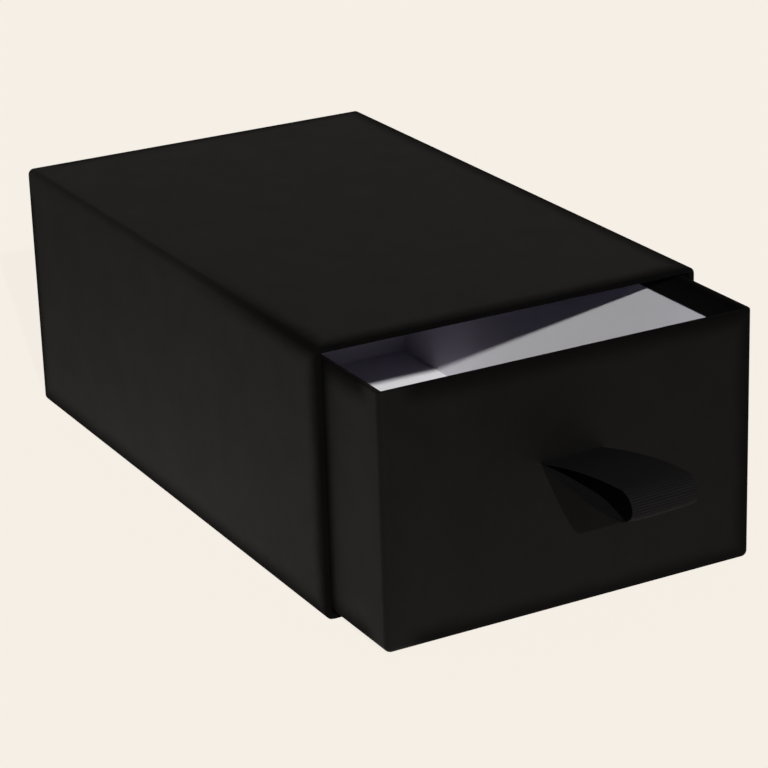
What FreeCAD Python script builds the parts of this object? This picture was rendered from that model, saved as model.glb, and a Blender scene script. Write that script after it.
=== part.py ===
import FreeCAD, Part
import math
import os
from FreeCAD import Placement, Rotation, Vector

# A drawer-style gift box of covered greyboard: a case open at the front, and a
# drawer with a ribbon pull that slides out of it. Millimetres; X to the right,
# the mouth faces -Y, Z up, and the origin is the centre of the case's underside.

# Outside of the case, over its papers.
CASE_WIDTH = 120.0
CASE_DEPTH = 199.0
CASE_HEIGHT = 79.0

# Stock thicknesses.
BOARD_THICKNESS = 1.2
COVER_THICKNESS = 0.16
LINING_THICKNESS = 0.12
TAPE_THICKNESS = 0.1
RIBBON_THICKNESS = 0.3

# Folds of the cover paper, measured on its outside.
FOLD_RADIUS = 2.0
LIP_RADIUS = 0.6

# Bevel on the free edges of the boards, under the paper.
BOARD_BEVEL = 0.3

# How far each paper reaches past the edge it covers.
MOUTH_TURN_IN = 15.0
RIM_TURN_IN = 8.0
TURN_UNDER_WIDTH = 15.0
LAP_WIDTH = 12.0
TURN_IN_TRIM = 2.0
SHEET_INSET = 0.4
SHEET_MARGIN = FOLD_RADIUS + SHEET_INSET
MITRE_GAP = 0.2

# Corner tapes, pressed flush into the boards.
TAPE_LEG = 12.0
TAPE_MARGIN = 3.0

# Fit of the drawer in the case. It lies on the turned-in paper of the mouth.
SIDE_CLEARANCE = 0.25
TOP_CLEARANCE = 1.3
BACK_CLEARANCE = 0.3
DRAWER_OUT = 30.5

# Ribbon pull: one ribbon folded to a loop, its tails glued and patched inside the front.
RIBBON_WIDTH = 20.0
SLOT_ABOVE_MIDDLE = 7.0
SLOT_END_CLEARANCE = 0.15
SLOT_FACE_CLEARANCE = 0.1
LOOP_REACH = 44.0
LOOP_END_RADIUS = 4.6
LOOP_SIDE_RADIUS = 125.0
LOOP_RISE = 3.0
LOOP_CLEARANCE = 0.3
NECK_LENGTH = 0.4
PARTING_RADIUS = 0.03
PATCH_MARGIN = 3.0
PATCH_GAP = 1.2

# Names of a tray's walls by the side they stand on.
CASE_WALLS = {"-y": "bottom", "+y": "top", "-x": "left", "+x": "right", "base": "back"}
DRAWER_WALLS = {"-y": "front", "+y": "back", "-x": "left", "+x": "right", "base": "floor"}

# A cutting box reaches this far past what it cuts.
BEYOND = 5.0

# Edges this close to a plane count as lying in it.
IN_PLANE = 1e-6


def box(low, high):
    """Block between two corners."""
    size = high - low
    return Part.makeBox(size.x, size.y, size.z, low)


def all_round(x, y=None, z=None):
    """Vector with one value on each axis, or three."""
    return Vector(x, x if y is None else y, x if z is None else z)


def edges_in_plane(shape, z):
    """Edges that lie in the level plane at z."""
    bounds = [(edge, edge.BoundBox) for edge in shape.Edges]
    return [edge for edge, b in bounds if abs(b.ZMin - z) + abs(b.ZMax - z) < IN_PLANE]


def upright_edges(shape):
    """Straight edges that run up the shape."""
    bounds = [(edge, edge.BoundBox) for edge in shape.Edges]
    return [edge for edge, b in bounds if b.ZLength > b.XLength + b.YLength]


def folded_box(low, high, radius):
    """Block whose upright and lower edges are rounded as paper folds round them."""
    block = box(low, high)
    return block.makeFillet(radius, upright_edges(block) + edges_in_plane(block, low.z))


def rectangle(half_x, half_z, y, z_middle):
    """Closed upright rectangle in the plane at y."""
    corners = [(-1, -1), (1, -1), (1, 1), (-1, 1), (-1, -1)]
    return Part.makePolygon([Vector(i * half_x, y, z_middle + j * half_z) for i, j in corners])


class Tray:
    """Five boards with their linings, corner tapes and cover paper, opening upwards.

    low and high are the outside corners over one layer of cover paper.
    """

    def __init__(self, low, high, turn_in):
        self.low, self.high, self.turn_in = low, high, turn_in
        self.core_low = low + all_round(COVER_THICKNESS)
        self.core_high = high - all_round(COVER_THICKNESS)
        self.board_low = self.core_low + all_round(BOARD_THICKNESS)
        self.board_high = self.core_high - all_round(BOARD_THICKNESS)
        self.inside_low = self.board_low + all_round(LINING_THICKNESS)
        self.inside_high = self.board_high - all_round(LINING_THICKNESS)
        core = self.shell(self.core_low, self.core_high, 0, FOLD_RADIUS - COVER_THICKNESS)
        self.core = core.makeChamfer(BOARD_BEVEL, edges_in_plane(core, self.core_high.z))
        self.tapes = self.corner_tapes()

    def shell(self, low, high, inset, radius):
        """Walls and base from the given outside to the inset inside, with rounded folds."""
        solid = folded_box(low, high, radius)
        hollow_low = self.inside_low + all_round(inset)
        hollow_high = self.inside_high - all_round(inset)
        hollow_high.z = high.z + BEYOND
        return solid.cut(box(hollow_low, hollow_high))

    def slice(self, x, y, z):
        """The part of the core between two values on each axis."""
        return self.core.common(box(Vector(x[0], y[0], z[0]), Vector(x[1], y[1], z[1])))

    def walls(self, outer_low, outer_high, inner_low, inner_high, foot):
        """Four upright slices of the core: two across the full width and two between them."""
        full_x, part_y = (outer_low.x, outer_high.x), (inner_low.y, inner_high.y)
        upright = (foot, self.high.z)
        return {
            "-y": self.slice(full_x, (outer_low.y, inner_low.y), upright),
            "+y": self.slice(full_x, (inner_high.y, outer_high.y), upright),
            "-x": self.slice((outer_low.x, inner_low.x), part_y, upright),
            "+x": self.slice((inner_high.x, outer_high.x), part_y, upright),
        }

    def base(self, foot, top):
        """Level slice of the core between the wall boards."""
        low, high = self.board_low, self.board_high
        return self.slice((low.x, high.x), (low.y, high.y), (foot, top))

    def boards(self):
        """Wall boards that run down to the corner, and a base board let in between them."""
        pieces = self.walls(
            self.core_low, self.core_high, self.board_low, self.board_high, self.core_low.z)
        pieces["base"] = self.base(self.core_low.z, self.board_low.z)
        return {side: piece.cut(self.tapes) for side, piece in pieces.items()}

    def linings(self):
        """A lining sheet on the inner face of each board; the wall ones stand on the base one."""
        pieces = self.walls(
            self.board_low, self.board_high, self.inside_low, self.inside_high, self.inside_low.z)
        pieces["base"] = self.base(self.board_low.z, self.inside_low.z)
        return pieces

    def corner_tapes(self):
        """Folded tape strip round each upright corner of the boards."""
        inner_low = self.core_low + all_round(TAPE_THICKNESS)
        inner_high = self.core_high - all_round(TAPE_THICKNESS)
        inner_high.z = self.core_high.z + BEYOND
        inner = folded_box(inner_low, inner_high, FOLD_RADIUS - COVER_THICKNESS - TAPE_THICKNESS)
        foot, top = self.core_low.z + TAPE_MARGIN, self.core_high.z - TAPE_MARGIN
        strips = []
        for x, x_in in ((self.core_low.x, 1), (self.core_high.x, -1)):
            for y, y_in in ((self.core_low.y, 1), (self.core_high.y, -1)):
                x_end, y_end = x + x_in * TAPE_LEG, y + y_in * TAPE_LEG
                strip = self.slice(sorted((x, x_end)), sorted((y, y_end)), (foot, top)).cut(inner)
                strips.append(strip)
        return Part.makeCompound(strips)

    def skin(self):
        """One layer of cover paper over the outside, over the lip and turned in."""
        outside = self.shell(self.low, self.high, COVER_THICKNESS, FOLD_RADIUS)
        outside = outside.makeFillet(LIP_RADIUS, edges_in_plane(outside, self.high.z))
        below = Vector(self.inside_high.x, self.inside_high.y, self.high.z - self.turn_in)
        layer = outside.cut(self.core).cut(box(self.inside_low, below))
        return layer.cut(self.base_window()).cut(self.trimmed_corners()).cut(self.mitres())

    def base_window(self):
        """Space that the turned-under flaps leave bare in the middle of the base."""
        flap = all_round(TURN_UNDER_WIDTH, TURN_UNDER_WIDTH, 0)
        high = self.high - flap
        return box(self.low + flap, Vector(high.x, high.y, self.core_low.z))

    def trimmed_corners(self):
        """Slanted trims where neighbouring turn-ins meet in the tray's corners."""
        top, foot = self.high.z - LIP_RADIUS, self.high.z - self.turn_in
        trims = []
        for x, x_in in ((self.inside_low.x, 1), (self.inside_high.x, -1)):
            for y, y_in in ((self.inside_low.y, 1), (self.inside_high.y, -1)):
                reach = TURN_IN_TRIM
                for along, across in ((Vector(x_in, 0, 0), Vector(0, y_in, 0)),
                                      (Vector(0, y_in, 0), Vector(x_in, 0, 0))):
                    corner = Vector(x, y, top)
                    low_corner = Vector(x, y, foot)
                    outline = [corner, low_corner, low_corner + along * reach, corner]
                    trims.append(Part.Face(Part.makePolygon(outline)).extrude(across * reach))
        return Part.makeCompound(trims)

    def mitres(self):
        """Diagonal gaps between neighbouring turned-under flaps."""
        cuts = []
        for x, x_in in ((self.low.x, 1), (self.high.x, -1)):
            for y, y_in in ((self.low.y, 1), (self.high.y, -1)):
                start = FOLD_RADIUS * math.sqrt(2)
                length = TURN_UNDER_WIDTH * math.sqrt(2) - start + MITRE_GAP
                corner = Vector(start, -MITRE_GAP / 2, 0)
                cut = Part.makeBox(length, MITRE_GAP, COVER_THICKNESS, corner)
                turn = math.degrees(math.atan2(y_in, x_in))
                cut.Placement = Placement(Vector(x, y, self.low.z), Rotation(Vector(0, 0, 1), turn))
                cuts.append(cut)
        return Part.makeCompound(cuts)


# The case is a tray laid on its side: its base is the back and its -y wall the bottom.
# Its bottom and its back carry a second sheet over the turned-under flaps.
CASE = Tray(
    Vector(-CASE_WIDTH / 2, COVER_THICKNESS - CASE_HEIGHT / 2, COVER_THICKNESS),
    Vector(CASE_WIDTH / 2, CASE_HEIGHT / 2, CASE_DEPTH),
    MOUTH_TURN_IN)
CASE_PLACE = Placement(Vector(0, CASE_DEPTH / 2, CASE_HEIGHT / 2), Rotation(Vector(1, 0, 0), 90))

# Room for the drawer inside the mouth, over its turned-in paper.
MOUTH_LOW = CASE.inside_low + all_round(COVER_THICKNESS)
MOUTH_HIGH = CASE.inside_high - all_round(COVER_THICKNESS)
DRAWER_WIDTH = MOUTH_HIGH.x - MOUTH_LOW.x - 2 * SIDE_CLEARANCE
DRAWER_HEIGHT = MOUTH_HIGH.y - MOUTH_LOW.y - TOP_CLEARANCE
DRAWER_DEPTH = CASE_DEPTH - CASE.inside_low.z - BACK_CLEARANCE

# The drawer's base carries a second sheet, and its back the lap of the wrap.
DRAWER = Tray(
    Vector(-DRAWER_WIDTH / 2, 0, COVER_THICKNESS),
    Vector(DRAWER_WIDTH / 2, DRAWER_DEPTH - COVER_THICKNESS, DRAWER_HEIGHT),
    RIM_TURN_IN)
DRAWER_FRONT = -CASE_DEPTH / 2 - DRAWER_OUT
DRAWER_FOOT = CASE_HEIGHT / 2 + MOUTH_LOW.y
DRAWER_PLACE = Placement(Vector(0, DRAWER_FRONT, DRAWER_FOOT), Rotation())

# Slot for the ribbon, in the drawer's own frame. The patch over the upper tail stops
# just below the turned-in paper, and the lower tail is as long as the upper one.
SLOT_Z = DRAWER_HEIGHT / 2 + SLOT_ABOVE_MIDDLE
TAIL_LENGTH = DRAWER_HEIGHT - RIM_TURN_IN - PATCH_GAP - PATCH_MARGIN - SLOT_Z


def case_papers():
    """The wrap over top, sides and flaps, and the sheet that closes the underside.

    The base sheet lies over the wrap's flaps and sinks between them at both ends, where it
    folds up round the back and over the lip into the mouth.
    """
    skin = CASE.skin()
    half_gap = CASE.high.x - TURN_UNDER_WIDTH
    between_flaps = box(
        Vector(-half_gap, CASE.low.y - BEYOND, CASE.low.z - BEYOND),
        Vector(half_gap, 0, CASE.high.z + BEYOND))
    spanned = box(
        Vector(-half_gap, CASE.low.y, CASE.low.z + TURN_UNDER_WIDTH),
        Vector(half_gap, CASE.core_low.y, CASE.high.z - MOUTH_TURN_IN))
    half_sheet = CASE.high.x - SHEET_MARGIN
    sheet = box(
        Vector(-half_sheet, CASE.low.y - COVER_THICKNESS, CASE.low.z + SHEET_MARGIN),
        Vector(half_sheet, CASE.low.y, CASE.high.z - LIP_RADIUS))
    base_sheet = skin.common(between_flaps).cut(spanned).fuse(sheet)
    return skin.cut(between_flaps), base_sheet.removeSplitter()


def flat_sheet(tray):
    """Plain sheet over the turned-under flaps of a tray's base."""
    low = tray.low + Vector(SHEET_MARGIN, SHEET_MARGIN, -COVER_THICKNESS)
    return box(low, Vector(tray.high.x - SHEET_MARGIN, tray.high.y - SHEET_MARGIN, tray.low.z))


def lap_strip():
    """Second layer of the drawer's wrap where its ends overlap on the back."""
    low = Vector(DRAWER.low.x + FOLD_RADIUS, DRAWER.high.y, DRAWER.low.z + FOLD_RADIUS)
    return box(low, Vector(low.x + LAP_WIDTH, low.y + COVER_THICKNESS, DRAWER.high.z - LIP_RADIUS))


def ribbon_slot():
    """Slit through the front wall for both layers of the ribbon."""
    half_x = RIBBON_WIDTH / 2 + SLOT_END_CLEARANCE
    half_z = RIBBON_THICKNESS + SLOT_FACE_CLEARANCE
    return box(
        Vector(-half_x, DRAWER.low.y - BEYOND, SLOT_Z - half_z),
        Vector(half_x, DRAWER.inside_low.y + BEYOND, SLOT_Z + half_z))


def pull_tails():
    """Both layers through the slot, then one tail up and one down the inside of the front."""
    half_x, inner_face = RIBBON_WIDTH / 2, DRAWER.inside_low.y
    through = box(
        Vector(-half_x, DRAWER.low.y, SLOT_Z - RIBBON_THICKNESS),
        Vector(half_x, inner_face + RIBBON_THICKNESS, SLOT_Z + RIBBON_THICKNESS))
    upright = box(
        Vector(-half_x, inner_face, SLOT_Z - TAIL_LENGTH),
        Vector(half_x, inner_face + RIBBON_THICKNESS, SLOT_Z + TAIL_LENGTH))
    return through.fuse(upright).removeSplitter()


def tail_patch(tails):
    """Paper patch that sinks from the tails to the lining round them."""
    half_x, half_z = RIBBON_WIDTH / 2 + PATCH_MARGIN, TAIL_LENGTH + PATCH_MARGIN
    face = DRAWER.inside_low.y
    foot = face + LINING_THICKNESS
    narrowing = PATCH_MARGIN - LINING_THICKNESS
    rim = box(Vector(-half_x, face, SLOT_Z - half_z), Vector(half_x, foot, SLOT_Z + half_z))
    outline = rectangle(half_x, half_z, foot, SLOT_Z)
    crown = rectangle(half_x - narrowing, half_z - narrowing, foot + RIBBON_THICKNESS, SLOT_Z)
    slope = Part.makeLoft([outline, crown], True, True)
    return rim.fuse(slope).cut(tails).removeSplitter()


def drop_outline(start, start_radius, end, end_radius, side_radius):
    """Face round two circles in the YZ plane, joined by bowed sides that touch both."""
    length = (end - start).Length
    along = (end - start).normalize()
    across = Vector(1, 0, 0).cross(along)
    from_start, from_end = side_radius - start_radius, side_radius - end_radius
    reach = (length ** 2 + from_start ** 2 - from_end ** 2) / (2 * length)
    depth = math.sqrt(from_start ** 2 - reach ** 2)
    middle = length / 2 - reach
    bow = math.sqrt(side_radius ** 2 - middle ** 2) - depth
    sides = []
    for up in (1, -1):
        centre = start + along * reach - across * (up * depth)
        at_start = start + (start - centre).normalize() * start_radius
        at_end = end + (end - centre).normalize() * end_radius
        at_middle = start + along * (length / 2) + across * (up * bow)
        sides.append((at_start, at_middle, at_end))
    (start_up, middle_up, end_up), (start_down, middle_down, end_down) = sides
    edges = [
        Part.Arc(start_up, middle_up, end_up).toShape(),
        Part.Arc(end_up, end + along * end_radius, end_down).toShape(),
        Part.Arc(end_down, middle_down, start_down).toShape(),
        Part.Arc(start_down, start - along * start_radius, start_up).toShape(),
    ]
    return Part.Face(Part.Wire(edges))


def pull_loop():
    """Ribbon loop in front of the slot: pinched at its neck, bowed, round at its end."""
    neck_radius = RIBBON_THICKNESS
    start_gap = LOOP_CLEARANCE + neck_radius
    neck = Vector(-RIBBON_WIDTH / 2, DRAWER_FRONT - start_gap, DRAWER_FOOT + SLOT_Z)
    rise = math.radians(LOOP_RISE)
    outward = Vector(0, -math.cos(rise), math.sin(rise))
    end = neck + outward * (LOOP_REACH - start_gap - LOOP_END_RADIUS)
    outside = drop_outline(neck, neck_radius, end, LOOP_END_RADIUS, LOOP_SIDE_RADIUS)
    parting = neck + outward * NECK_LENGTH
    inside = drop_outline(
        parting, PARTING_RADIUS, end, LOOP_END_RADIUS - RIBBON_THICKNESS,
        LOOP_SIDE_RADIUS - RIBBON_THICKNESS)
    return outside.cut(inside).extrude(Vector(RIBBON_WIDTH, 0, 0))


def case_nodes():
    """Boards, linings, tapes and papers of the case, laid on their side."""
    nodes = {}
    for side, board in CASE.boards().items():
        nodes["case_%s_board" % CASE_WALLS[side]] = board
    for side, lining in CASE.linings().items():
        nodes["case_%s_lining" % CASE_WALLS[side]] = lining
    nodes["case_corner_tapes"] = CASE.tapes
    nodes["case_wrap_paper"], nodes["case_base_sheet"] = case_papers()
    nodes["case_back_sheet"] = flat_sheet(CASE)
    return nodes


def drawer_nodes():
    """Boards, linings, tapes, papers and glued ribbon tails of the drawer."""
    slot = ribbon_slot()
    nodes = {}
    for side, board in DRAWER.boards().items():
        nodes["drawer_%s_board" % DRAWER_WALLS[side]] = board
    for side, lining in DRAWER.linings().items():
        nodes["drawer_%s_lining" % DRAWER_WALLS[side]] = lining
    nodes["drawer_corner_tapes"] = DRAWER.tapes
    nodes["drawer_wrap_paper"] = DRAWER.skin().fuse(lap_strip()).removeSplitter()
    for name in ("drawer_front_board", "drawer_front_lining", "drawer_wrap_paper"):
        nodes[name] = nodes[name].cut(slot)
    nodes["drawer_base_sheet"] = flat_sheet(DRAWER)
    nodes["pull_tails"] = pull_tails()
    nodes["pull_tail_patch"] = tail_patch(nodes["pull_tails"])
    return nodes


def write(name, shape, place):
    """One STEP file per node, placed in the box's frame."""
    placed = shape.copy()
    placed.Placement = place.multiply(shape.Placement)
    placed.exportStep("parts/%s.step" % name)
    print(name, len(placed.Solids), "valid" if placed.isValid() else "not valid", placed.Volume)


os.makedirs("parts", exist_ok=True)
for node, solid in case_nodes().items():
    write(node, solid, CASE_PLACE)
for node, solid in drawer_nodes().items():
    write(node, solid, DRAWER_PLACE)
write("pull_loop", pull_loop(), Placement())
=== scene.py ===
"""Covers, linings, ribbon pull and studio for a drawer-style gift box of covered greyboard."""

import math

import bpy
from bpy.props import FloatProperty, FloatVectorProperty, PointerProperty
from mathutils import Matrix, Vector
from mathutils.geometry import interpolate_bezier


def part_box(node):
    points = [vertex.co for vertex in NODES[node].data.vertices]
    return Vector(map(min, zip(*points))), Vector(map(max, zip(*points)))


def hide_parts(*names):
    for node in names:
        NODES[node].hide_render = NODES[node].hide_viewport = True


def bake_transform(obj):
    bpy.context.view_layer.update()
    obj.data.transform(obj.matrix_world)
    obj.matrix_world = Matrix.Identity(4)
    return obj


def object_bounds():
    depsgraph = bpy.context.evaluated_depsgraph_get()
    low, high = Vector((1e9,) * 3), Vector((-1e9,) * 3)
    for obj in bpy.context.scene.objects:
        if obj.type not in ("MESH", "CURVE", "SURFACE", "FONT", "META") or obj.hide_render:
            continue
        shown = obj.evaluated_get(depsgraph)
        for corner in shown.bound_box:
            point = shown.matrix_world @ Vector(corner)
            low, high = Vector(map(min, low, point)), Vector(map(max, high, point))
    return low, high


bl_info = {
    "name": "Drawer Gift Box",
    "version": (1, 0, 0),
    "blender": (4, 5, 0),
    "location": "3D View > Sidebar > Gift Box",
    "description": "Cover papers, linings, ribbon pull and studio for a drawer gift box",
    "category": "Object",
}

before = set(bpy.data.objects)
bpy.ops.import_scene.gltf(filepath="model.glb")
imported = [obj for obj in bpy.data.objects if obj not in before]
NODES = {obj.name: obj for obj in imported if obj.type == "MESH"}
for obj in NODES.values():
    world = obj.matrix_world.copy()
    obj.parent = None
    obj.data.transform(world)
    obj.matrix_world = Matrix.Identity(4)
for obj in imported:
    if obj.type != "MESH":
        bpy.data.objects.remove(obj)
CAD_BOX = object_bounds()

CASE_WALLS = ("back", "bottom", "top", "left", "right")
DRAWER_WALLS = ("floor", "front", "back", "left", "right")

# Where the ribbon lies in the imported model.
TAILS_LOW, TAILS_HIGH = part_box("pull_tails")
LOOP_LOW, LOOP_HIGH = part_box("pull_loop")
SLOT_Z = (TAILS_LOW.z + TAILS_HIGH.z) / 2
INNER_FACE_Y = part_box("pull_tail_patch")[0].y
RIBBON_THICKNESS = TAILS_HIGH.y - INNER_FACE_Y

# Paper grain. The fibres run two ways, each a stretched noise. For each fibre there are this
# many clouds in the sheet's formation and this many specks of its finest grain, and the specks
# have this share in the relief.
FIBRES_ALONG = (1.0, 0.35, 1.0)
FIBRES_ACROSS = (0.35, 1.0, 0.4)
CLOUD_RATE = 0.08
GRAIN_RATE = 3.1
GRAIN_SHARE = 0.35

# Most values of the grain lie in this span. It moves roughness this much down and up, and the
# matt film's sheen by this share.
GRAIN_SPAN = (0.3, 0.7)
ROUGHER = (-0.05, 0.06)
FILM_UNEVEN = 0.07

# Painted shade at the folds and lips, which takes the film's sheen away there: scale of the
# noise that its band wanders by, the band's least width and how much it grows, as shares of the
# width that is set, and the share of the painted shade that a quiet fold is spared. The quiet
# fades out between two distances from the fold, in band widths.
WANDER_SCALE = 90.0
WANDER_LEAST = 0.6
WANDER_GROWTH = 0.8
QUIET_SHARE = 0.9
QUIET_REACH = (0.6, 1.6)

# The painted shade on the sleeve's top fold turns quiet between these places along Y.
QUIET_FROM, QUIET_WHOLLY = -0.09, 0.0

# Pressed board has coarser fibres than paper.
BOARD_COARSENESS = 1.6

# Grosgrain: warp yarns across the ribbon, what its ribs, the yarns on them and its fuzz add to
# the relief, and the share of uneven dye in its tone. The rest of its tone follows the relief, as
# painted shade in the grooves and a painted sheen on the ribs.
YARNS = 56.0
RIB_HEIGHT = 0.5
YARN_HEIGHT = 0.35
FUZZ_HEIGHT = 0.15
UNEVEN_SHARE = 0.35

# Its colour against the tint and its roughness, in the grooves and on the ribs, and the span
# of tones between the two. The darker colour in the grooves is painted shade, the lighter one on
# the ribs a painted sheen.
GROOVE_COLOUR, RIB_COLOUR = 0.55, 1.35
GROOVE_ROUGHNESS, RIB_ROUGHNESS = 0.92, 0.74
WEAVE_SPAN = (0.1, 0.8)

# Mesh of the ribbon: rows of faces to each rib, points to each curve of its line, and the
# distance of each column of vertices from its middle.
ROWS_TO_RIB = 4
CURVE_POINTS = 96
COLUMN_REACH = (0.0100, 0.0098, 0.00945, 0.0090, 0.0080, 0.0060, 0.0030)

# The grooves fade towards the selvedge, which starts this far from the middle. They fade over
# this width before it, and keep this share of their depth on it.
SELVEDGE_START = 0.0098
SELVEDGE_FADE = 0.0008
SELVEDGE_DEPTH = 0.15

# Folds of the ribbon at the slot: their radius in thicknesses, and the share of the radius
# that a curve's handle takes.
CREASE_RADIUS = 0.7
ROUND_HANDLE = 0.55

# The loop from the side: length of the straight neck, how far the end lies under the top, how
# full the end is, and how far behind the end the lower and the upper side bow out most.
NECK = 0.0015
TIP_DROP = 0.0046
TIP_FULLNESS = 0.0026
LOWER_BELLY = 0.0085
UPPER_BELLY = 0.0060

# Way of the sides there, and how far they follow it towards the neck and towards the end.
SIDE_LEAN = Vector((0.0085, -0.00045))
LOWER_TO_NECK, LOWER_TO_TIP = 2.1, 0.55
UPPER_TO_NECK, UPPER_TO_TIP = 2.3, 0.40

# The floor: its width, how far it lies under the box, how bright its own light is, and the
# share of its look that this light makes up. The rest takes shadows.
FLOOR_SIZE = 12.0
FLOOR_DROP = 0.00005
FLOOR_GLOW = 1.05
FLOOR_GLOW_SHARE = 0.92

# Gloss sees the backdrop darken between these heights, with 0 at the horizon and 1 overhead.
BACKDROP_FADE = (0.12, 0.5)


def joined_box(names):
    """Lowest and highest corner of several nodes together."""
    boxes = [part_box(name) for name in names]
    low = Vector([min(box[0][i] for box in boxes) for i in range(3)])
    high = Vector([max(box[1][i] for box in boxes) for i in range(3)])
    return low, high


CASE_BOX = joined_box(["case_wrap_paper", "case_base_sheet", "case_back_sheet"])
DRAWER_BOX = joined_box(["drawer_wrap_paper", "drawer_base_sheet"])


def colour(name, description, default):
    """Colour property shown as a swatch."""
    return FloatVectorProperty(
        name=name, description=description, default=default,
        subtype="COLOR", size=3, min=0.0, max=1.0)


def length(name, description, default):
    """Length property in metres."""
    return FloatProperty(
        name=name, description=description, default=default, unit="LENGTH", min=0.0,
        precision=5)


def factor(name, description, default):
    """Share from 0 to 1."""
    return FloatProperty(
        name=name, description=description, default=default, subtype="FACTOR",
        min=0.0, max=1.0)


def angle(name, description, default):
    """Angle property, given in degrees."""
    return FloatProperty(
        name=name, description=description, default=math.radians(default),
        subtype="ANGLE")


class GiftBoxPapers(bpy.types.PropertyGroup):
    """Colours and grain of the papers and the board."""

    cover: colour("Cover", "Matt black cover paper", (0.0038, 0.0034, 0.0032))
    film: factor("Film", "Strength of the matt film's sheen on the cover paper", 0.485)
    film_roughness: factor("Film roughness", "Roughness of the matt film", 0.62)
    case_lining: colour("Sleeve lining", "Uncoated black paper", (0.006, 0.006, 0.0065))
    drawer_lining: colour("Drawer lining", "White lining paper", (0.84, 0.832, 0.85))
    board: colour("Greyboard", "Pressed recycled board", (0.34, 0.31, 0.27))
    tape: colour("Corner tape", "Gummed kraft tape", (0.42, 0.26, 0.13))
    fibre: length("Fibre", "Length of the paper fibres", 0.0009)
    # Painted shade along the folds and lips of the covers: width and depth of its band.
    fold_shade_width: length("Painted fold shade", "Width of the darker band at folds and lips", 0.0075)
    fold_shade_depth: factor("Fold depth", "How much of the sheen is lost at folds and lips", 0.85)
    bounce: colour("Bounce", "Light that the white lining passes on", (0.92, 0.88, 1.0))


class GiftBoxRibbon(bpy.types.PropertyGroup):
    """Weave and shape of the ribbon pull."""

    tint: colour("Ribbon", "Black ribbon yarn", (0.0085, 0.0078, 0.0078))
    rib_pitch: length("Rib pitch", "Distance between the cross ribs", 0.0007)
    rib_depth: length("Rib depth", "Depth of the grooves between the ribs", 0.00005)
    cut_width: length("Width", "Woven width of the ribbon", 0.020)
    cut_length: length("Cut length", "Length of the ribbon before it is folded", 0.1316)
    crown: length("Crown", "How far the middle of the loop's width bows out", 0.0003)
    twist: angle("Twist", "Turn of the loop's end about its length", 1.5)


class GiftBoxStudio(bpy.types.PropertyGroup):
    """Floor, light and camera."""

    floor: colour("Floor", "Pale floor and backdrop", (0.913, 0.863, 0.791))
    key_strength: FloatProperty(
        name="Key strength", description="Sun lamp from the front", default=2.25, min=0.0)
    key_azimuth: angle("Key azimuth", "Turn of the key lamp from the front to the left", 16)
    key_elevation: angle("Key elevation", "Height of the key lamp", 26.5)
    key_spread: angle("Key spread", "Width of the key lamp, which softens its shadows", 0.8)
    ambient: colour("Ambient", "Soft light from all around", (0.128, 0.124, 0.165))
    overhead: factor("Overhead", "Share of the backdrop that gloss shows overhead", 0.25)
    pool_place: FloatVectorProperty(
        name="Pool place", description="Middle of the light pool that gloss shows on the floor",
        size=2, unit="LENGTH", default=(-0.11, -0.06))
    pool_reach: length("Pool reach", "Radius of the light pool", 0.34)
    pool_strength: FloatProperty(
        name="Pool strength", description="Brightness of the pool's middle", default=1.5)
    pool_rim: FloatProperty(
        name="Pool rim", description="Brightness of the floor outside the pool", default=0.55)
    camera_place: FloatVectorProperty(
        name="Camera place", description="Position of the camera", subtype="TRANSLATION",
        unit="LENGTH", default=(-0.38219, -0.73684, 0.34277))
    camera_azimuth: angle("Camera azimuth", "Turn from the front", -28.227)
    camera_elevation: angle("Camera elevation", "Height over the floor", 21.004)
    camera_roll: angle("Camera roll", "Turn about the line of sight", -1.887)
    lens: FloatProperty(
        name="Lens", description="Focal length", default=136.14, min=1.0,
        subtype="DISTANCE_CAMERA")


PROPERTY_GROUPS = {
    "gift_box_papers": GiftBoxPapers,
    "gift_box_ribbon": GiftBoxRibbon,
    "gift_box_studio": GiftBoxStudio,
}


# ---------------------------------------------------------------- shader nodes


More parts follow.
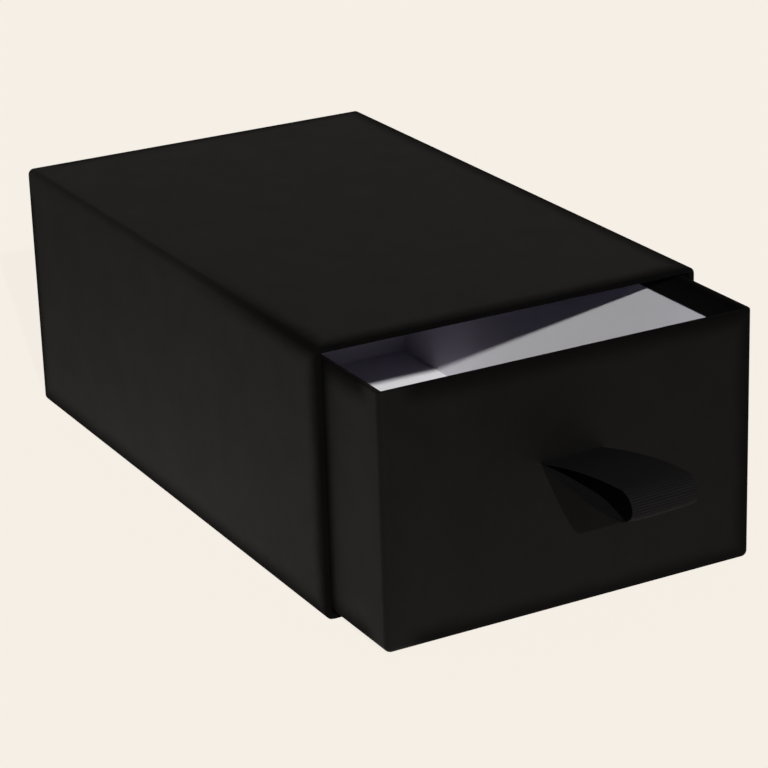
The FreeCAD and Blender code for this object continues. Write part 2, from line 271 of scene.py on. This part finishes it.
class Tree:
    """Adds and links nodes of one shader tree."""

    def __init__(self, tree):
        self.tree = tree

    def feed(self, socket, value):
        """Sets a socket, or links it where the value is another socket."""
        if isinstance(value, bpy.types.NodeSocket):
            self.tree.links.new(value, socket)
        elif value is not None:
            socket.default_value = value

    def add(self, kind, settings=None, **inputs):
        """New node, with its settings and its inputs by name or, as in_0, by place."""
        node = self.tree.nodes.new(kind)
        for name, value in (settings or {}).items():
            setattr(node, name, value)
        for name, value in inputs.items():
            if name.startswith("in_"):
                self.feed(node.inputs[int(name[3:])], value)
            else:
                self.feed(node.inputs[name.replace("_", " ")], value)
        return node

    def maths(self, operation, first, second=None, third=None):
        """Result of a Math node."""
        node = self.add("ShaderNodeMath", {"operation": operation},
                        in_0=first, in_1=second, in_2=third)
        return node.outputs[0]

    def blended(self, first, second, share):
        """A share of the first value with the rest of the second."""
        rest = self.maths("MULTIPLY", second, 1.0 - share)
        return self.maths("MULTIPLY_ADD", first, share, rest)

    def ramp(self, value, low, high, to_low=0.0, to_high=1.0):
        """Value carried smoothly from one range to another."""
        node = self.add("ShaderNodeMapRange", {"interpolation_type": "SMOOTHSTEP"},
                        Value=value, From_Min=low, From_Max=high,
                        To_Min=to_low, To_Max=to_high)
        return node.outputs[0]

    def wave(self, turns):
        """Value that is 1 at each whole turn and 0 halfway between."""
        swing = self.maths("COSINE", self.maths("MULTIPLY", turns, math.tau))
        return self.maths("MULTIPLY_ADD", swing, 0.5, 0.5)

    def noise(self, vector, scale, detail=2.0, roughness=0.5):
        """Value of a Noise Texture."""
        node = self.add("ShaderNodeTexNoise", Vector=vector, Scale=scale,
                        Detail=detail, Roughness=roughness)
        return node.outputs[0]

    def mix(self, mask, first, second, blend="MIX"):
        """Colour mixed by a mask."""
        node = self.add("ShaderNodeMix", {"data_type": "RGBA", "blend_type": blend},
                        in_0=mask, in_6=first, in_7=second)
        return node.outputs[2]

    def stretched(self, vector, scale):
        """Vector scaled along each axis."""
        node = self.add("ShaderNodeMapping", Vector=vector, Scale=scale)
        return node.outputs[0]

    def looked_at(self, path):
        """1 for a ray that looks, straight on, by gloss or through, and 0 for one that lights."""
        seen = self.maths("MAXIMUM", path["Is Camera Ray"], path["Is Glossy Ray"])
        return self.maths("MAXIMUM", seen, path["Is Transmission Ray"])


def new_group(name, inputs, outputs):
    """Shader node group with float and vector sockets; returns its tree and its ends."""
    group = bpy.data.node_groups.new(name, "ShaderNodeTree")
    for title, kind, value in inputs:
        socket = group.interface.new_socket(title, in_out="INPUT", socket_type=kind)
        if value is not None:
            socket.default_value = value
    for title in outputs:
        group.interface.new_socket(title, in_out="OUTPUT", socket_type="NodeSocketFloat")
    tree = Tree(group)
    source = tree.add("NodeGroupInput")
    drain = tree.add("NodeGroupOutput")
    return tree, source.outputs, drain.inputs


def fibre_group():
    """Fibres, felt marks and cloudy formation of paper or board."""
    tree, given, out = new_group(
        "Paper fibre",
        [("Position", "NodeSocketVector", None), ("Fibre length", "NodeSocketFloat", 0.001)],
        ["Tone", "Height"])
    place = given["Position"]
    fine = tree.maths("DIVIDE", 1.0, given["Fibre length"])
    along = tree.noise(tree.stretched(place, FIBRES_ALONG), fine, detail=4.0, roughness=0.6)
    across = tree.noise(tree.stretched(place, FIBRES_ACROSS), fine, detail=4.0, roughness=0.6)
    felt = tree.maths("MAXIMUM", along, across)
    rate = tree.maths("MULTIPLY", fine, CLOUD_RATE)
    cloud = tree.noise(place, rate, detail=3.0, roughness=0.55)
    grain = tree.noise(place, tree.maths("MULTIPLY", fine, GRAIN_RATE))
    body = tree.blended(grain, felt, GRAIN_SHARE)
    tree.feed(out["Height"], body)
    tree.feed(out["Tone"], tree.blended(cloud, body, 0.5))
    return tree.tree


def fold_shade_group():
    """Painted-shade mask, 1 at the folds and lips of a box between two corners and 0 on its faces.

    One fold, at the quiet corner and across the quiet axes, shows little painted shade past a place
    in Y.
    """
    tree, given, out = new_group(
        "Painted fold shade",
        [("Position", "NodeSocketVector", None), ("Low corner", "NodeSocketVector", None),
         ("High corner", "NodeSocketVector", None), ("Width", "NodeSocketFloat", 0.003),
         ("Quiet corner", "NodeSocketVector", None), ("Quiet axes", "NodeSocketVector", None),
         ("Quiet start", "NodeSocketFloat", 0.0), ("Quiet end", "NodeSocketFloat", 1.0)],
        ["Mask"])
    above = tree.add("ShaderNodeVectorMath", {"operation": "SUBTRACT"},
                     in_0=given["Position"], in_1=given["Low corner"])
    below = tree.add("ShaderNodeVectorMath", {"operation": "SUBTRACT"},
                     in_0=given["High corner"], in_1=given["Position"])
    nearest = tree.add("ShaderNodeVectorMath", {"operation": "MINIMUM"},
                       in_0=above.outputs[0], in_1=below.outputs[0])
    x, y, z = tree.add("ShaderNodeSeparateXYZ", Vector=nearest.outputs[0]).outputs
    smaller, larger = tree.maths("MINIMUM", x, y), tree.maths("MAXIMUM", x, y)
    middle = tree.maths("MAXIMUM", smaller, tree.maths("MINIMUM", larger, z))
    wander = tree.noise(given["Position"], WANDER_SCALE, detail=3.0, roughness=0.6)
    reach = tree.maths("MULTIPLY", given["Width"], tree.maths(
        "MULTIPLY_ADD", wander, WANDER_GROWTH, WANDER_LEAST))
    # Painted shade, strongest on the fold or lip and gone a band's width away.
    shaded = tree.ramp(tree.maths("DIVIDE", middle, reach), 0.0, 1.0, to_low=1.0, to_high=0.0)
    aside = tree.add("ShaderNodeVectorMath", {"operation": "SUBTRACT"},
                     in_0=given["Position"], in_1=given["Quiet corner"]).outputs[0]
    aside = tree.add("ShaderNodeVectorMath", {"operation": "MULTIPLY"},
                     in_0=aside, in_1=given["Quiet axes"]).outputs[0]
    aside = tree.add("ShaderNodeVectorMath", {"operation": "LENGTH"}, in_0=aside).outputs[1]
    widths = tree.maths("DIVIDE", aside, given["Width"])
    near = tree.ramp(widths, *QUIET_REACH, to_low=1.0, to_high=0.0)
    place = tree.add("ShaderNodeSeparateXYZ", Vector=given["Position"]).outputs[1]
    part = tree.ramp(place, given["Quiet start"], given["Quiet end"])
    quiet = tree.maths("MULTIPLY", near, part)
    kept = tree.maths("MULTIPLY_ADD", quiet, -QUIET_SHARE, 1.0)
    tree.feed(out["Mask"], tree.maths("MULTIPLY", shaded, kept))
    return tree.tree


def new_material(name):
    """Empty material; returns it with its tree and its output's surface socket."""
    material = bpy.data.materials.new(name)
    material.use_nodes = True
    material.node_tree.nodes.clear()
    tree = Tree(material.node_tree)
    surface = tree.add("ShaderNodeOutputMaterial").inputs["Surface"]
    return material, tree, surface


def use_group(tree, group, **inputs):
    """Group node with its inputs by name."""
    return tree.add("ShaderNodeGroup", {"node_tree": group}, **inputs).outputs


def paper_material(name, tint, groups, fibre, roughness, gloss, mottle, bump):
    """Paper or board with mottled colour and fibre relief; returns what a finish adds to."""
    material, tree, surface = new_material(name)
    place = tree.add("ShaderNodeTexCoord").outputs["Object"]
    grain = use_group(tree, groups["fibre"], Position=place, Fibre_length=fibre)
    low = [channel * (1.0 - mottle) for channel in tint] + [1.0]
    high = [channel * (1.0 + mottle) for channel in tint] + [1.0]
    shade = tree.mix(tree.ramp(grain["Tone"], *GRAIN_SPAN), low, high)
    rough = tree.ramp(grain["Height"], *GRAIN_SPAN, to_low=roughness + ROUGHER[0],
                      to_high=roughness + ROUGHER[1])
    relief = tree.add("ShaderNodeBump", Strength=0.5, Distance=bump, Height=grain["Height"])
    finish = tree.add("ShaderNodeBsdfPrincipled", Base_Color=shade, Roughness=rough,
                      Normal=relief.outputs[0])
    finish.inputs["Specular IOR Level"].default_value = gloss
    finish.inputs["Diffuse Roughness"].default_value = 1.0
    tree.feed(surface, finish.outputs[0])
    return material, tree, finish, grain


def cover_material(name, papers, groups, box, quiet):
    """Matt film cover paper, with painted shade dulling it along the folds and lips of a box but
    one.
    """
    material, tree, finish, grain = paper_material(
        name, papers.cover, groups, papers.fibre,
        roughness=0.9, gloss=0.0, mottle=0.10, bump=0.00004)
    place = tree.add("ShaderNodeTexCoord").outputs["Object"]
    corner, axes, start, end = quiet
    painted_shade = use_group(tree, groups["fold"], Position=place, Low_corner=box[0],
                     High_corner=box[1], Width=papers.fold_shade_width, Quiet_corner=corner,
                     Quiet_axes=axes, Quiet_start=start, Quiet_end=end)
    # Painted shade at the folds and lips takes its share of the film's sheen away.
    left = tree.maths("MULTIPLY_ADD", painted_shade["Mask"], -papers.fold_shade_depth, 1.0)
    film = tree.ramp(grain["Tone"], *GRAIN_SPAN, to_low=papers.film * (1.0 - FILM_UNEVEN),
                     to_high=papers.film * (1.0 + FILM_UNEVEN))
    tree.feed(finish.inputs["Coat Weight"], tree.maths("MULTIPLY", left, film))
    finish.inputs["Coat Roughness"].default_value = papers.film_roughness
    finish.inputs["Coat IOR"].default_value = 1.3
    finish.inputs["Coat Tint"].default_value = (0.96, 1.0, 0.97, 1.0)
    return material


def lining_material(name, papers, groups):
    """White lining paper, which tints the light that it passes on."""
    material, tree, finish, _ = paper_material(
        name, papers.drawer_lining, groups, papers.fibre,
        roughness=0.7, gloss=0.25, mottle=0.012, bump=0.00003)
    shade = finish.inputs["Base Color"].links[0].from_socket
    passed = tree.mix(1.0, shade, [*papers.bounce, 1.0], "MULTIPLY")
    bounced = tree.add("ShaderNodeLightPath").outputs["Is Diffuse Ray"]
    tree.feed(finish.inputs["Base Color"], tree.mix(bounced, shade, passed))
    return material


def weave_group():
    """Cross ribs of a grosgrain ribbon, with the warp yarns that run over them."""
    tree, given, out = new_group(
        "Ribbon weave",
        [("Place", "NodeSocketVector", None), ("Yarns", "NodeSocketFloat", YARNS)],
        ["Height", "Tone"])
    across, along, _ = tree.add("ShaderNodeSeparateXYZ", Vector=given["Place"]).outputs
    rib = tree.wave(along)
    yarn = tree.wave(tree.maths("MULTIPLY", across, given["Yarns"]))
    fuzz = tree.stretched(given["Place"], (200.0, 9.0, 1.0))
    fuzz = tree.noise(fuzz, 1.0, detail=3.0, roughness=0.6)
    uneven = tree.noise(tree.stretched(given["Place"], (2.0, 0.6, 1.0)), 1.0)
    height = tree.maths("MULTIPLY_ADD", tree.maths("MULTIPLY", yarn, rib), YARN_HEIGHT,
                        tree.maths("MULTIPLY", rib, RIB_HEIGHT))
    height = tree.maths("MULTIPLY_ADD", fuzz, FUZZ_HEIGHT, height)
    tree.feed(out["Height"], height)
    # Tone: uneven dye, with the relief painted in as shade in the grooves and sheen on the ribs.
    tree.feed(out["Tone"], tree.blended(uneven, height, UNEVEN_SHARE))
    return tree.tree


def ribbon_material(ribbon):
    """Black grosgrain: painted shade in its grooves; on its ribs a painted sheen, and a real one
    from lower roughness.
    """
    material, tree, surface = new_material("Ribbon grosgrain")
    place = tree.add("ShaderNodeUVMap").outputs["UV"]
    weave = use_group(tree, shader_groups()["weave"], Place=place, Yarns=YARNS)
    # Painted shade darkens the grooves and a painted sheen lightens the ribs.
    dark = [channel * GROOVE_COLOUR for channel in ribbon.tint] + [1.0]
    light = [channel * RIB_COLOUR for channel in ribbon.tint] + [1.0]
    shade = tree.mix(tree.ramp(weave["Tone"], *WEAVE_SPAN), dark, light)
    rough = tree.ramp(weave["Height"], 0.0, 1.0, GROOVE_ROUGHNESS, RIB_ROUGHNESS)
    relief = tree.add("ShaderNodeBump", Strength=0.6, Distance=0.00008, Height=weave["Height"])
    finish = tree.add("ShaderNodeBsdfPrincipled", Base_Color=shade, Roughness=rough,
                      Normal=relief.outputs[0])
    finish.inputs["Specular IOR Level"].default_value = 0.065
    tree.feed(surface, finish.outputs[0])
    return material


def dress(names, material):
    """Gives CAD nodes a finish."""
    for name in names:
        node = NODES[name]
        node.data.materials.clear()
        node.data.materials.append(material)


def shader_groups():
    """The shared groups, made once."""
    makers = {"fibre": ("Paper fibre", fibre_group), "fold": ("Painted fold shade", fold_shade_group),
              "weave": ("Ribbon weave", weave_group)}
    groups = {}
    for key, (title, make) in makers.items():
        groups[key] = bpy.data.node_groups.get(title) or make()
    return groups


# ------------------------------------------------------------------- operators


class GIFTBOX_OT_cover_papers(bpy.types.Operator):
    """Gives the case and the drawer their matt black cover papers"""

    bl_idname = "giftbox.cover_papers"
    bl_label = "Cover Papers"

    def execute(self, context):
        papers = context.scene.gift_box_papers
        groups = shader_groups()
        low, high = CASE_BOX
        # The painted shade on the sleeve's top fold fades away towards the back.
        top_fold = ((low.x, 0.0, high.z), (1.0, 0.0, 1.0), QUIET_FROM, QUIET_WHOLLY)
        low = DRAWER_BOX[0]
        # The drawer's front left fold lies past both of its places, so all of it is quiet, with
        # little painted shade.
        front_fold = ((low.x, low.y, 0.0), (1.0, 1.0, 0.0), low.y - 0.02, low.y - 0.01)
        for body, box, quiet, names in (
                ("Sleeve", CASE_BOX, top_fold,
                 ["case_wrap_paper", "case_base_sheet", "case_back_sheet"]),
                ("Drawer", DRAWER_BOX, front_fold,
                 ["drawer_wrap_paper", "drawer_base_sheet"])):
            material = cover_material(body + " cover paper", papers, groups, box, quiet)
            dress(names, material)
        return {"FINISHED"}


class GIFTBOX_OT_linings(bpy.types.Operator):
    """Lines the case in black and the drawer in white paper"""

    bl_idname = "giftbox.linings"
    bl_label = "Linings"

    def execute(self, context):
        papers = context.scene.gift_box_papers
        groups = shader_groups()
        black = paper_material("Sleeve lining paper", papers.case_lining, groups, papers.fibre,
                               roughness=0.85, gloss=0.1, mottle=0.12, bump=0.00005)[0]
        white = lining_material("Drawer lining paper", papers, groups)
        dress(["case_%s_lining" % wall for wall in CASE_WALLS], black)
        dress(["drawer_%s_lining" % wall for wall in DRAWER_WALLS], white)
        dress(["pull_tail_patch"], white)
        return {"FINISHED"}


class GIFTBOX_OT_boards(bpy.types.Operator):
    """Gives the greyboard and the corner tapes their finish"""

    bl_idname = "giftbox.boards"
    bl_label = "Boards and Tapes"

    def execute(self, context):
        papers = context.scene.gift_box_papers
        groups = shader_groups()
        grey = paper_material("Greyboard", papers.board, groups,
                              papers.fibre * BOARD_COARSENESS,
                              roughness=0.9, gloss=0.2, mottle=0.18, bump=0.00012)[0]
        kraft = paper_material("Corner tape", papers.tape, groups, papers.fibre,
                               roughness=0.8, gloss=0.3, mottle=0.10, bump=0.00006)[0]
        dress(["case_%s_board" % wall for wall in CASE_WALLS], grey)
        dress(["drawer_%s_board" % wall for wall in DRAWER_WALLS], grey)
        dress(["case_corner_tapes", "drawer_corner_tapes"], kraft)
        return {"FINISHED"}


class GIFTBOX_OT_ribbon(bpy.types.Operator):
    """Threads one ribbon through the slot: a loop in front, both tails glued inside"""

    bl_idname = "giftbox.ribbon"
    bl_label = "Ribbon Pull"

    def execute(self, context):
        ribbon = context.scene.gift_box_ribbon
        line = self.fold_line()
        strip = self.cut_strip(ribbon, line)
        self.fold_strip(strip, ribbon, line)
        strip.data.materials.append(ribbon_material(ribbon))
        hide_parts("pull_loop", "pull_tails")
        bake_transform(strip)
        return {"FINISHED"}

    def fold_line(self):
        """Middle line of the ribbon in Y and Z, from its lower tail round to its upper tail.

        Each of its points comes with the length of the line up to it.
        """
        half = RIBBON_THICKNESS / 2
        crease = RIBBON_THICKNESS * CREASE_RADIUS
        handle = crease * ROUND_HANDLE
        face, mouth = INNER_FACE_Y + half, LOOP_HIGH.y
        slot, neck = face - crease, mouth - NECK
        lower, upper = SLOT_Z - half, SLOT_Z + half
        under, over = lower - crease, upper + crease
        tip = Vector((LOOP_LOW.y + half, LOOP_HIGH.z - TIP_DROP))
        full = Vector((0.0, TIP_FULLNESS))
        low = Vector((tip.x + LOWER_BELLY, LOOP_LOW.z + half))
        high = Vector((tip.x + UPPER_BELLY, LOOP_HIGH.z - half))
        runs = [
            [Vector((face, TAILS_LOW.z)), Vector((face, under))],
            [Vector((face, under)), Vector((face, under + handle)),
             Vector((face - handle, lower)), Vector((slot, lower))],
            [Vector((slot, lower)), Vector((mouth, lower))],
            [Vector((mouth, lower)), Vector((neck, lower)), low + SIDE_LEAN * LOWER_TO_NECK, low],
            [low, low - SIDE_LEAN * LOWER_TO_TIP, tip - full, tip],
            [tip, tip + full, high - SIDE_LEAN * UPPER_TO_TIP, high],
            [high, high + SIDE_LEAN * UPPER_TO_NECK, Vector((neck, upper)), Vector((mouth, upper))],
            [Vector((mouth, upper)), Vector((slot, upper))],
            [Vector((slot, upper)), Vector((face - handle, upper)),
             Vector((face, over - handle)), Vector((face, over))],
            [Vector((face, over)), Vector((face, TAILS_HIGH.z))],
        ]
        line = [(0.0, runs[0][0])]
        for run in runs:
            points = interpolate_bezier(*run, CURVE_POINTS) if len(run) == 4 else run
            for point in points[1:]:
                line.append((line[-1][0] + (point - line[-1][1]).length, point.copy()))
        return line

    def cut_strip(self, ribbon, line):
        """Flat strip of the ribbon's thickness, with a few rows of faces to each rib."""
        self.rows = round(line[-1][0] / ribbon.rib_pitch) * ROWS_TO_RIB
        self.columns = [-x for x in COLUMN_REACH] + [0.0] + list(reversed(COLUMN_REACH))
        bpy.ops.mesh.primitive_grid_add(
            x_subdivisions=len(self.columns) - 1, y_subdivisions=self.rows, size=1.0)
        strip = bpy.context.object
        strip.name = strip.data.name = "pull_ribbon"
        wall = strip.modifiers.new("Thickness", "SOLIDIFY")
        wall.thickness, wall.offset = RIBBON_THICKNESS, 0.0
        bpy.ops.object.modifier_apply(modifier=wall.name)
        bpy.ops.object.shade_smooth_by_angle(angle=math.radians(60))
        return strip

    def fold_strip(self, strip, ribbon, line):
        """Bends the strip along its line, grooves it between the ribs and bows the loop."""
        ribs = self.rows / ROWS_TO_RIB
        uv = strip.data.uv_layers.active.data
        flat = [vertex.co.copy() for vertex in strip.data.vertices]
        for loop in strip.data.loops:
            x, y = flat[loop.vertex_index].xy
            uv[loop.index].uv = (x + 0.5, (y + 0.5) * ribs)
        frames = self.frames_along(line)
        for vertex, start in zip(strip.data.vertices, flat):
            x = self.columns[round((start.x + 0.5) * (len(self.columns) - 1))]
            place, outward, loose = frames[round((start.y + 0.5) * self.rows)]
            groove = 0.5 - 0.5 * math.cos(math.tau * (start.y + 0.5) * ribs)
            depth = min(max((SELVEDGE_START - abs(x)) / SELVEDGE_FADE, SELVEDGE_DEPTH), 1.0)
            height = (1 if start.z > 0 else -1) * (
                RIBBON_THICKNESS / 2 - ribbon.rib_depth * groove * depth)
            share = x / (ribbon.cut_width / 2)
            height += ribbon.crown * loose * (1.0 - share * share)
            point = place + outward * height
            vertex.co = (x, point.x, point.y + x * math.sin(ribbon.twist) * loose)
        strip.data.update()

    def frames_along(self, line):
        """Place, outward direction and looseness for each row, from the tail to the tail."""
        total = line[-1][0]
        frames, step = [], 0
        for row in range(self.rows + 1):
            reach = total * row / self.rows
            while step < len(line) - 2 and line[step + 1][0] < reach:
                step += 1
            (before, first), (after, second) = line[step], line[step + 1]
            place = first.lerp(second, (reach - before) / (after - before))
            ahead = line[min(step + 2, len(line) - 1)][1]
            along = (ahead - line[max(step - 1, 0)][1]).normalized()
            out = min(max((LOOP_HIGH.y - place.x) / (LOOP_HIGH.y - LOOP_LOW.y), 0.0), 1.0)
            eased = out * out * (3.0 - 2.0 * out)
            frames.append((place, Vector((-along.y, along.x)), eased))
        return frames


class GIFTBOX_OT_stage(bpy.types.Operator):
    """Sets up the floor, the lamp, the world and the camera"""

    bl_idname = "giftbox.stage"
    bl_label = "Stage"

    def execute(self, context):
        studio = context.scene.gift_box_studio
        self.lay_floor(studio)
        self.hang_lamp(studio)
        self.colour_world(context.scene, studio)
        self.place_camera(context.scene, studio)
        context.scene.view_settings.view_transform = "Standard"
        return {"FINISHED"}

    def lay_floor(self, studio):
        """Pale floor that shows its own colour under a faint shadow, and is clear from below."""
        bpy.ops.mesh.primitive_plane_add(
            size=FLOOR_SIZE, location=(0.0, 0.0, CAD_BOX[0][2] - FLOOR_DROP))
        floor = bpy.context.object
        floor.name = "studio_floor"
        material, tree, surface = new_material("Studio floor")
        tint = [*studio.floor, 1.0]
        matt = tree.add("ShaderNodeBsdfDiffuse", Color=tint)
        path = tree.add("ShaderNodeLightPath").outputs
        place = tree.add("ShaderNodeTexCoord").outputs["Object"]
        away = tree.add("ShaderNodeVectorMath", {"operation": "DISTANCE"}, in_0=place,
                        in_1=(*studio.pool_place, 0.0)).outputs[1]
        pool = tree.ramp(away, 0.0, studio.pool_reach, studio.pool_strength, studio.pool_rim)
        pool = tree.maths("SUBTRACT", pool, FLOOR_GLOW)
        pool = tree.maths("MULTIPLY_ADD", pool, path["Is Glossy Ray"], FLOOR_GLOW)
        glow = tree.add("ShaderNodeEmission", Color=tint, Strength=pool)
        share = tree.maths("MULTIPLY", tree.looked_at(path), FLOOR_GLOW_SHARE)
        both = tree.add("ShaderNodeMixShader", in_0=share, in_1=matt.outputs[0],
                        in_2=glow.outputs[0])
        under = tree.add("ShaderNodeNewGeometry").outputs["Backfacing"]
        clear = tree.add("ShaderNodeBsdfTransparent")
        one_sided = tree.add("ShaderNodeMixShader", in_0=under, in_1=both.outputs[0],
                             in_2=clear.outputs[0])
        tree.feed(surface, one_sided.outputs[0])
        floor.data.materials.append(material)

    def hang_lamp(self, studio):
        """Sun lamp from the front left."""
        azimuth, elevation = studio.key_azimuth, studio.key_elevation
        towards = Vector((-math.sin(azimuth) * math.cos(elevation),
                          -math.cos(azimuth) * math.cos(elevation), math.sin(elevation)))
        bpy.ops.object.light_add(type="SUN", location=towards)
        key = bpy.context.object
        key.name = "key_lamp"
        key.rotation_euler = towards.to_track_quat("Z", "Y").to_euler()
        key.data.energy = studio.key_strength
        key.data.angle = studio.key_spread

    def colour_world(self, scene, studio):
        """Even soft light, and the floor's colour wherever the backdrop is seen."""
        world = bpy.data.worlds.new("Studio")
        world.use_nodes = True
        world.node_tree.nodes.clear()
        tree = Tree(world.node_tree)
        soft = tree.add("ShaderNodeBackground", Color=[*studio.ambient, 1.0])
        way = tree.add("ShaderNodeTexCoord").outputs["Generated"]
        height = tree.add("ShaderNodeSeparateXYZ", Vector=way).outputs[2]
        path = tree.add("ShaderNodeLightPath").outputs
        dark = tree.ramp(height, *BACKDROP_FADE, to_high=studio.overhead - 1.0)
        fall = tree.maths("MULTIPLY_ADD", dark, path["Is Glossy Ray"], 1.0)
        shown = tree.add("ShaderNodeBackground", Color=[*studio.floor, 1.0], Strength=fall)
        both = tree.add("ShaderNodeMixShader", in_0=tree.looked_at(path),
                        in_1=soft.outputs[0], in_2=shown.outputs[0])
        output = tree.add("ShaderNodeOutputWorld")
        tree.feed(output.inputs["Surface"], both.outputs[0])
        scene.world = world

    def place_camera(self, scene, studio):
        """Camera at its place, turned by azimuth, elevation and roll."""
        azimuth, elevation = studio.camera_azimuth, studio.camera_elevation
        back = Vector((math.sin(azimuth) * math.cos(elevation),
                       -math.cos(azimuth) * math.cos(elevation), math.sin(elevation)))
        level = Vector((0.0, 0.0, 1.0)).cross(back).normalized()
        upward = back.cross(level)
        turn = Matrix.Rotation(studio.camera_roll, 3, back)
        axes = Matrix((turn @ level, turn @ upward, back)).transposed()
        bpy.ops.object.camera_add(location=studio.camera_place)
        camera = bpy.context.object
        camera.name = "camera"
        camera.rotation_euler = axes.to_euler()
        camera.data.sensor_width = 36.0
        camera.data.lens = studio.lens
        camera.data.dof.use_dof = False
        scene.camera = camera


OPERATORS = (
    GIFTBOX_OT_cover_papers,
    GIFTBOX_OT_linings,
    GIFTBOX_OT_boards,
    GIFTBOX_OT_ribbon,
    GIFTBOX_OT_stage,
)


class GIFTBOX_PT_panel(bpy.types.Panel):
    """Gift box tools in the sidebar"""

    bl_idname = "GIFTBOX_PT_panel"
    bl_label = "Gift Box"
    bl_space_type = "VIEW_3D"
    bl_region_type = "UI"
    bl_category = "Gift Box"

    def draw(self, context):
        for operator in OPERATORS:
            self.layout.operator(operator.bl_idname)
        for name, group in PROPERTY_GROUPS.items():
            box = self.layout.box()
            for title in group.__annotations__:
                box.prop(getattr(context.scene, name), title)


CLASSES = (*PROPERTY_GROUPS.values(), *OPERATORS, GIFTBOX_PT_panel)


def register():
    """Adds the classes and the scene's properties."""
    for item in CLASSES:
        bpy.utils.register_class(item)
    for name, group in PROPERTY_GROUPS.items():
        setattr(bpy.types.Scene, name, PointerProperty(type=group))


def unregister():
    """Takes them out again."""
    for name in PROPERTY_GROUPS:
        delattr(bpy.types.Scene, name)
    for item in reversed(CLASSES):
        bpy.utils.unregister_class(item)


def main():
    """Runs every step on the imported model."""
    register()
    bpy.ops.object.select_all(action="DESELECT")
    bpy.ops.giftbox.cover_papers()
    bpy.ops.giftbox.linings()
    bpy.ops.giftbox.boards()
    bpy.ops.giftbox.ribbon()
    bpy.ops.giftbox.stage()


if __name__ == "__main__":
    main()
